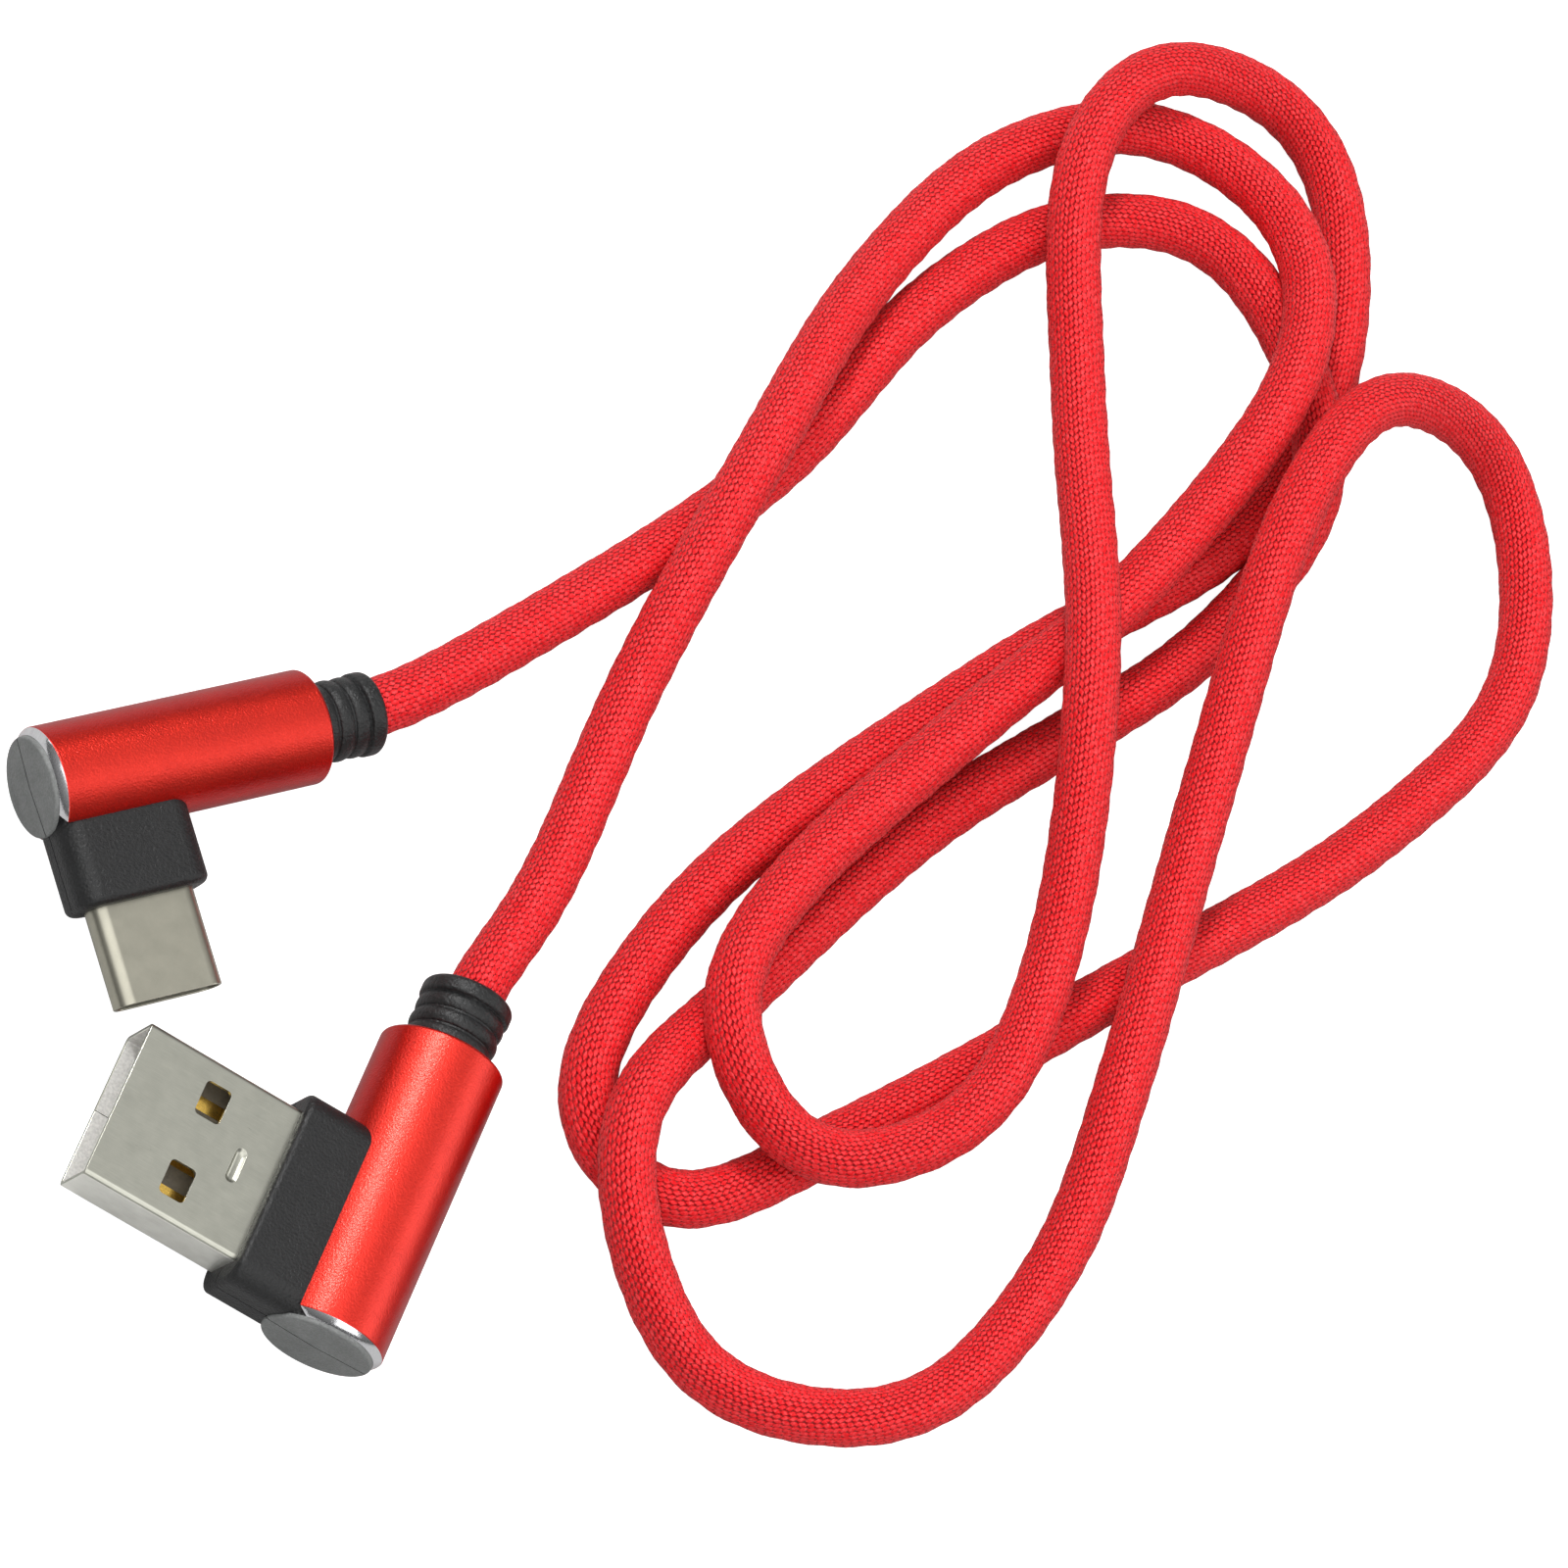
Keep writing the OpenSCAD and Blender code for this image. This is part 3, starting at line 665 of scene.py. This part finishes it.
def block_mesh(plug):
    """The block: a rounded slab that swells a little from its front to the barrel, soft at its front edge."""
    edge = plug["edge"]
    stations = [(0.0, 0.0), (plug["reach"] - edge, 0.0)]
    for i in range(1, 7):
        a = math.radians(15 * i)
        stations.append((plug["reach"] - edge + edge * math.sin(a), edge * (1 - math.cos(a))))
    rings = []
    for x, inset in stations:
        outline = round_rectangle(
            plug["block_h"] - 2 * inset, plug["block_w"] - 2 * inset, BLOCK_R - inset * 0.5, 10)
        rings.append([(x, y + plug["shell_y"], z) for z, y in outline])
    return loft("block", rings)


def seam_cutters(plug):
    """The mould's parting line: a hair-fine groove at mid-height round the block and across the cap."""
    near = plug["shell_y"] - plug["block_w"] / 2
    far = plug["shell_y"] + plug["block_w"] / 2
    reach, start = plug["reach"], plug["radius"] - 0.6
    depth, half = 0.07, 0.045
    strips = [
        [(start, near - 1), (reach + 1, near - 1), (reach + 1, near + depth), (start, near + depth)],
        [(start, far - depth), (reach + 1, far - depth), (reach + 1, far + 1), (start, far + 1)],
        [(reach - depth, near), (reach + 1, near), (reach + 1, far), (reach - depth, far)],
    ]
    bow = [(-plug["radius"], 0.25), (0.0, -0.1), (plug["radius"], 0.2)]
    cap_line = loft("cap_seam", [
        [(x, -0.5, z - half), (x, depth, z - half), (x, depth, z + half), (x, -0.5, z + half)]
        for x, z in bow
    ])
    return [prism_z("seam", strip, -half, half) for strip in strips] + [cap_line]


def make_housing(plug):
    r = plug["radius"]
    inner = r - WALL - FIT
    face = r - CHAMFER - FIT
    core_end = CAP_PROUD + plug["sleeve"] - LIP - FLANGE
    profile = (
        [(BORE_R, 1.2, 0), (0.02, 1.2, 1), (0.02, 0.0, 1)]
        + [(x, y, 1) for x, y in arc((face - 0.18, 0.18), 0.18, -90, 0, 6)]
        + [(face, CAP_PROUD, 0), (inner, CAP_PROUD, 0), (inner, core_end, 0), (BORE_R, core_end, 0)]
    )
    piece = add_object(f"{plug['tag']}_moulding", lathe("core", profile), [HOUSING, CAP_FACE_PAINTED_LIGHT])
    combine(piece, [block_mesh(plug)], "UNION")
    hollow = round_rectangle(plug["shell_h"], plug["shell_w"], plug["shell_corner"], 10)
    combine(piece, [prism_x("shell_seat", hollow, plug["shell_back"], plug["reach"] + 1, plug["shell_y"])],
            "DIFFERENCE")
    combine(piece, seam_cutters(plug), "DIFFERENCE")
    piece.data.polygons.foreach_set("use_smooth", [True] * len(piece.data.polygons))
    piece.data.set_sharp_from_angle(angle=math.radians(32))
    settle(piece, plug, [f"{plug['tag']}_housing"])


RIBS = 3


def make_relief(plug):
    """Boot: a flange in the barrel, a tapering neck with round ribs and a soft collar at the cord."""
    r = plug["radius"]
    collar = plug["collar_r"]
    start = CAP_PROUD + plug["sleeve"] - LIP - FLANGE
    lip_end = CAP_PROUD + plug["sleeve"]
    end = lip_end + RELIEF_OUT
    neck = collar - 0.30
    collar_l = 1.35
    pitch = (RELIEF_OUT - collar_l) / RIBS
    groove = 0.07
    inner = r - WALL - FIT
    profile = [(BORE_R, start), (inner, start), (inner, lip_end - LIP), (neck, lip_end - LIP)]
    for i in range(RIBS):
        base = lip_end + i * pitch
        swell = 0.24 - 0.02 * i
        profile += [(neck, base + groove)]
        profile += [
            (neck + swell * math.sin(math.pi * t) ** 0.5, base + groove + (pitch - 2 * groove) * t)
            for t in (0.03, 0.1, 0.2, 0.34, 0.5, 0.66, 0.8, 0.9, 0.97)
        ]
        profile += [(neck, base + pitch - groove)]
    top = end - collar_l
    profile += arc((collar - 0.26, top + 0.30), 0.26, -80, 0, 6)
    profile += arc((collar - 0.5, end - 0.5), 0.5, 0, 90, 10)
    profile += [(CORD_R + 0.12, end), (CORD_R - 0.05, end - 0.12), (BORE_R, end - 0.12)]
    mesh = lathe("relief", [(x, y, 0) for x, y in profile], 128)
    piece = add_object(f"{plug['tag']}_boot", mesh, [RELIEF])
    piece.data.set_sharp_from_angle(angle=math.radians(50))
    settle(piece, plug, [f"{plug['tag']}_strain_relief"])


WINDOW_X, WINDOW_Y, WINDOW = 14.4, 3.13, (2.0, 2.6)     # latch windows: places and size
SLOT_X, SLOT, DIMPLE = 11.1, (0.9, 2.6), 0.2            # oval mark: place, size and depth
SHEET_A, SHEET_C = 0.3, 0.25


def tube(name, plug, thickness, steps):
    """The shell: a folded sheet with its mouth's edge rounded in and out. Its materials are the
    outside, the inside and the two sides."""
    h, w, r = plug["shell_h"], plug["shell_w"], plug["shell_corner"]
    lip = 0.08
    back, mouth = plug["shell_back"], plug["mouth"]
    stations = [(back, 0.0), (mouth - lip, 0.0), (mouth - lip * 0.3, lip * 0.3), (mouth, lip)]
    inside = [(mouth, thickness - lip), (mouth - lip * 0.3, thickness - lip * 0.3), (mouth - lip, thickness),
              (back, thickness)]
    rings = []
    for x, inset in stations + inside:
        outline = round_rectangle(h - 2 * inset, w - 2 * inset, max(r - inset, 0.15), steps)
        rings.append([(x, y + plug["shell_y"], z) for z, y in outline])
    build = bmesh.new()
    rows = [[build.verts.new(p) for p in ring] for ring in rings]
    count = len(rows[0])
    for k in range(len(rows)):
        here, there = rows[k], rows[(k + 1) % len(rows)]
        for i in range(count):
            j = (i + 1) % count
            face = build.faces.new((here[i], here[j], there[j], there[i]))
            face.material_index = 1 if k == len(rows) - 2 else 0
    bmesh.ops.recalc_face_normals(build, faces=build.faces)
    for face in build.faces:
        if face.material_index == 0 and abs(face.normal.y) > 0.9:
            face.material_index = 2
    mesh = bpy.data.meshes.new(name)
    build.to_mesh(mesh)
    build.free()
    return mesh


def window_cutter(plug, x, y, size, radius, low, high):
    outline = round_rectangle(size[0], size[1], radius, 6)
    return prism_z("window", [(x + a, plug["shell_y"] + y + b) for a, b in outline], low, high)


def make_shell_a(plug):
    half = plug["shell_h"] / 2
    sheet = tube("shell", plug, SHEET_A, 8)
    # The inside and the flat sides use lighter copies of the nickel as painted light.
    piece = add_object("usb_a_folded_shell", sheet, [NICKEL, INNER_NICKEL_PAINTED_LIGHT, SIDE_NICKEL_PAINTED_LIGHT])
    cutters = [
        window_cutter(plug, WINDOW_X, side * WINDOW_Y, WINDOW, 0.35, low, high)
        for side in (-1, 1) for low, high in ((half - 0.5, half + 0.5), (-half - 0.5, -half + 0.5))
    ]
    mark = round_rectangle(*SLOT, 0.44, 10)
    slopes = ((-DIMPLE, 0.42, 0.78), (-DIMPLE * 0.8, 0.6, 0.86), (0.0, 1.0, 1.0), (0.3, 1.5, 1.2))
    dimple = [
        [(SLOT_X + x * grow, plug["shell_y"] + y * grow_y, half + z) for x, y in mark]
        for z, grow, grow_y in slopes
    ]
    cutters.append(loft("dimple", dimple))
    gap, start, end = 0.02, plug["shell_back"] + 0.5, plug["mouth"] + 1
    fold = [(start, -gap), (end, -gap), (end, gap), (start, gap)]
    outline = [(x, plug["shell_y"] + y) for x, y in fold]
    cutters.append(prism_z("fold_gap", outline, -half - 0.5, -half + 0.35))
    combine(piece, cutters, "DIFFERENCE")
    soften(piece, 0.09, segments=3)
    settle(piece, plug, ["usb_a_shell"])


def make_shell_c(plug):
    piece = add_object("usb_c_drawn_shell", tube("shell", plug, SHEET_C, 16), [STEEL, STEEL, STEEL])
    piece.data.set_sharp_from_angle(angle=math.radians(40))
    settle(piece, plug, ["usb_c_shell"])


for plug in (PLUG_A, PLUG_C):
    make_sleeve(plug)
    make_housing(plug)
    make_relief(plug)
make_shell_a(PLUG_A)
make_shell_c(PLUG_C)

# ---------------------------------------------------------------- what stays as the CAD made it

BOARD = plain_plastic("board_solder_mask", (0.02, 0.16, 0.06), 0.35)
RESISTOR = plain_plastic("resistor_ceramic", (0.03, 0.03, 0.03), 0.5)
POTTING = plain_plastic("inner_potting", (0.62, 0.6, 0.52), 0.5)
WIRE_COLOURS = {
    "vbus": (0.55, 0.02, 0.02), "data_minus": (0.75, 0.75, 0.72),
    "data_plus": (0.02, 0.25, 0.06), "ground": (0.02, 0.02, 0.02),
}
KEPT = {
    "usb_a_insulator": INSULATOR, "usb_c_insulator": SLOT_BLACK,
    "usb_c_contacts_upper": GOLD, "usb_c_contacts_lower": GOLD, "usb_c_latch": LATCH,
    "usb_c_board": BOARD, "usb_c_resistor": RESISTOR,
    "usb_a_inner_mould": POTTING, "usb_c_inner_mould": POTTING,
}
for wire, colour in WIRE_COLOURS.items():
    insulation = plain_plastic(f"wire_{wire}", colour, 0.4)
    KEPT[f"usb_a_wire_{wire}"] = insulation
    KEPT[f"usb_c_wire_{wire}"] = insulation
    KEPT[f"usb_a_contact_{wire}"] = GOLD

for node, material in KEPT.items():
    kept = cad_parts[node]
    kept.data.materials.clear()
    kept.data.materials.append(material)

# ---------------------------------------------------------------- floor and studio light


def make_floor():
    build = bmesh.new()
    bmesh.ops.create_grid(build, x_segments=1, y_segments=1, size=3.0)
    mesh = bpy.data.meshes.new("floor")
    build.to_mesh(mesh)
    build.free()
    m = Nodes("floor_paper")
    paper = m.ramp(m.noise(40), [(0.3, (0.47, 0.47, 0.47)), (0.7, (0.49, 0.49, 0.49))])
    m.link(paper, m.shader.inputs["Base Color"])
    m.set(Roughness=0.9, Specular_IOR_Level=0.1, Emission_Color=(1, 1, 1, 1))
    lit = m.add("ShaderNodeLightPath")
    m.link(m.math("MULTIPLY", lit.outputs["Is Camera Ray"], 0.95), m.shader.inputs["Emission Strength"])
    floor = add_object("floor", mesh, [m.material], smooth=False)


def softbox(name, back, distance, size, power, colour=(1, 1, 1)):
    data = bpy.data.lights.new(name, "AREA")
    data.shape = "RECTANGLE"
    data.size, data.size_y = size
    data.energy = power
    data.color = colour
    light = bpy.data.objects.new(name, data)
    bpy.context.collection.objects.link(light)
    direction = Vector(back).normalized()
    light.location = TARGET + direction * distance
    light.rotation_mode = "QUATERNION"
    light.rotation_quaternion = direction.to_track_quat("Z", "Y")


def make_light():
    world = bpy.data.worlds.new("studio")
    world.use_nodes = True
    tree = world.node_tree
    direction = tree.nodes.new("ShaderNodeTexCoord")
    height = tree.nodes.new("ShaderNodeSeparateXYZ")
    fade = tree.nodes.new("ShaderNodeValToRGB")
    tree.links.new(direction.outputs["Generated"], height.inputs["Vector"])
    tree.links.new(height.outputs["Z"], fade.inputs["Fac"])
    fade.color_ramp.elements.new(0.5)
    for element, (at, grey) in zip(fade.color_ramp.elements, ((0.05, 0.12), (0.45, 0.28), (0.85, 0.70))):
        element.position = at
        element.color = (grey, grey, grey, 1)
    tree.links.new(fade.outputs["Color"], tree.nodes["Background"].inputs["Color"])
    bpy.context.scene.world = world
    softbox("overhead", (-0.15, -0.28, 0.95), 1.0, (1.4, 1.2), 6.0)
    softbox("key", (-0.58, 0.44, 0.685), 0.9, (0.18, 0.18), 4.2)
    softbox("right", (0.80, 0.25, 0.50), 1.0, (0.6, 0.6), 1.9)
    softbox("low_left", (-0.82, 0.44, 0.30), 0.9, (0.5, 0.4), 0.8)
    softbox("low_front", (0.30, -0.84, 0.42), 0.9, (0.5, 0.4), 1.0)


make_floor()
make_light()
bpy.context.scene.view_settings.view_transform = "Standard"
